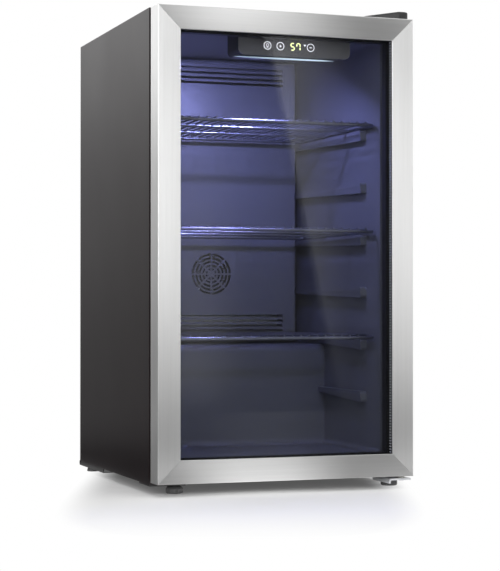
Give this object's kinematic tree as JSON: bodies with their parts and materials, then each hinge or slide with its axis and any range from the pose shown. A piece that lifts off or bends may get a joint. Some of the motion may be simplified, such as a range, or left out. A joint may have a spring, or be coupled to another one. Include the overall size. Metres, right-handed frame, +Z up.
{
  "type": "beverage refrigerator",
  "caption": "Compact free-standing fridge with a hinged glass door in a metal frame, wire shelves, touch controls, interior light and a rear compressor bay",
  "frame": {"origin": "on the floor under the middle of the whole fridge, door closed", "axes": "+Z up, the door faces -Y, +X towards the hinge side"},
  "size_m": [0.445, 0.512, 0.7985],
  "materials": {
    "cabinet_paint": "satin dark brown-black powder coat",
    "back_paint": "matt black coat on pressed sheet",
    "galvanised_sheet": "plain galvanised sheet",
    "liner_plastic": "satin vacuum-formed grey liner",
    "foam": "cream rigid foam",
    "copper_tube": "drawn copper",
    "control_black": "satin black moulding",
    "fascia_black": null,
    "circuit_board": "green solder mask",
    "display_plastic": "dark display window",
    "light_diffuser": "milky diffuser",
    "led_tape": "white strip",
    "evaporator_aluminium": "rolled sheet",
    "fan_plastic": "moulded black",
    "drain_plastic": "translucent white tube",
    "hinge_steel": "plated steel plate",
    "zinc_steel": "bright zinc plating",
    "fastener_zinc": "zinc-plated screws",
    "hinge_cover_black": "fine textured black",
    "bearing_nylon": "natural nylon",
    "foot_black": "ribbed black moulding",
    "compressor_black": "gloss black enamel",
    "pump_iron": "machined casting",
    "grommet_rubber": "black rubber",
    "relay_plastic": "black moulding",
    "pan_plastic": "black moulding",
    "stainless_trim": "finely brushed along each bar",
    "door_black": "satin black extrusion",
    "door_glass": "clear toughened pane",
    "spacer_aluminium": "perforated spacer bar",
    "seal_black": "soft black seal",
    "magnet_strip": "flexible magnet",
    "shelf_chrome": "chromed wire"
  },
  "bodies": {
    "cabinet": {"left_side_panel": "cabinet_paint", "right_side_panel": "cabinet_paint", "top_panel": "cabinet_paint", "back_panel": "back_paint", "bottom_panel": "galvanised_sheet", "compartment_panel": "galvanised_sheet", "inner_liner": "liner_plastic", "foam_insulation": "foam", "condenser_coil": "copper_tube", "control_housing": "control_black", "control_fascia": "fascia_black", "control_board": "circuit_board", "display_module": "display_plastic", "light_lens": "light_diffuser", "led_strip": "led_tape", "evaporator_cover": "liner_plastic", "evaporator_plate": "evaporator_aluminium", "fan_frame": "fan_plastic", "drain_tube": "drain_plastic", "top_hinge_bracket": "hinge_steel", "top_hinge_pin": "fastener_zinc", "top_hinge_cover": "hinge_cover_black", "top_hinge_screws": "fastener_zinc", "bottom_hinge_bracket": "zinc_steel", "bottom_hinge_pin": "zinc_steel", "hinge_washer": "bearing_nylon", "bottom_hinge_screws": "fastener_zinc", "left_foot_plate": "zinc_steel", "rear_feet": "foot_black", "compressor_shell": "compressor_black", "compressor_pump": "pump_iron", "compressor_grommets": "grommet_rubber", "compressor_bolts": "fastener_zinc", "terminal_cover": "relay_plastic", "base_plate": "galvanised_sheet", "drip_pan": "pan_plastic", "filter_drier": "copper_tube", "suction_line": "copper_tube", "discharge_line": "copper_tube", "capillary_tube": "copper_tube", "cord_gland": "grommet_rubber", "back_panel_screws": "fastener_zinc"},
    "door": {"door_trim_left": "stainless_trim", "door_trim_right": "stainless_trim", "door_trim_top": "stainless_trim", "door_trim_bottom": "stainless_trim", "door_inner_frame": "door_black", "outer_glass": "door_glass", "inner_glass": "door_glass", "glass_spacer": "spacer_aluminium", "glazing_seal": "seal_black", "door_gasket": "seal_black", "gasket_magnets": "magnet_strip", "door_bushes": "bearing_nylon"},
    "top_shelf": {"top_shelf": "shelf_chrome"},
    "middle_shelf": {"middle_shelf": "shelf_chrome"},
    "lower_shelf": {"lower_shelf": "shelf_chrome"},
    "fan_rotor": {"fan_rotor": "fan_plastic"},
    "left_front_foot": {"left_front_foot": "foot_black"},
    "right_front_foot": {"right_front_foot": "foot_black"}
  },
  "joints": [
    {"name": "door_hinge", "type": "hinge", "parent": "cabinet", "child": "door", "pos_m": [0.2095, -0.234, 0.4025], "axis": [0, 0, 1], "range_deg": [0, 120]},
    {"name": "top_shelf_slide", "type": "slide", "parent": "cabinet", "child": "top_shelf", "axis": [0, -1, 0], "range_m": [-0.015, 0.015]},
    {"name": "middle_shelf_slide", "type": "slide", "parent": "cabinet", "child": "middle_shelf", "axis": [0, -1, 0], "range_m": [-0.015, 0.015]},
    {"name": "lower_shelf_slide", "type": "slide", "parent": "cabinet", "child": "lower_shelf", "axis": [0, -1, 0], "range_m": [-0.015, 0.015]},
    {"name": "left_foot_screw", "type": "slide", "parent": "cabinet", "child": "left_front_foot", "axis": [0, 0, -1], "range_m": [0, 0.01]},
    {"name": "right_foot_screw", "type": "slide", "parent": "cabinet", "child": "right_front_foot", "axis": [0, 0, -1], "range_m": [0, 0.01]},
    {"name": "fan_spin", "type": "hinge", "parent": "cabinet", "child": "fan_rotor", "pos_m": [0, 0.152, 0.3635], "axis": [0, 1, 0], "continuous": true}
  ]
}
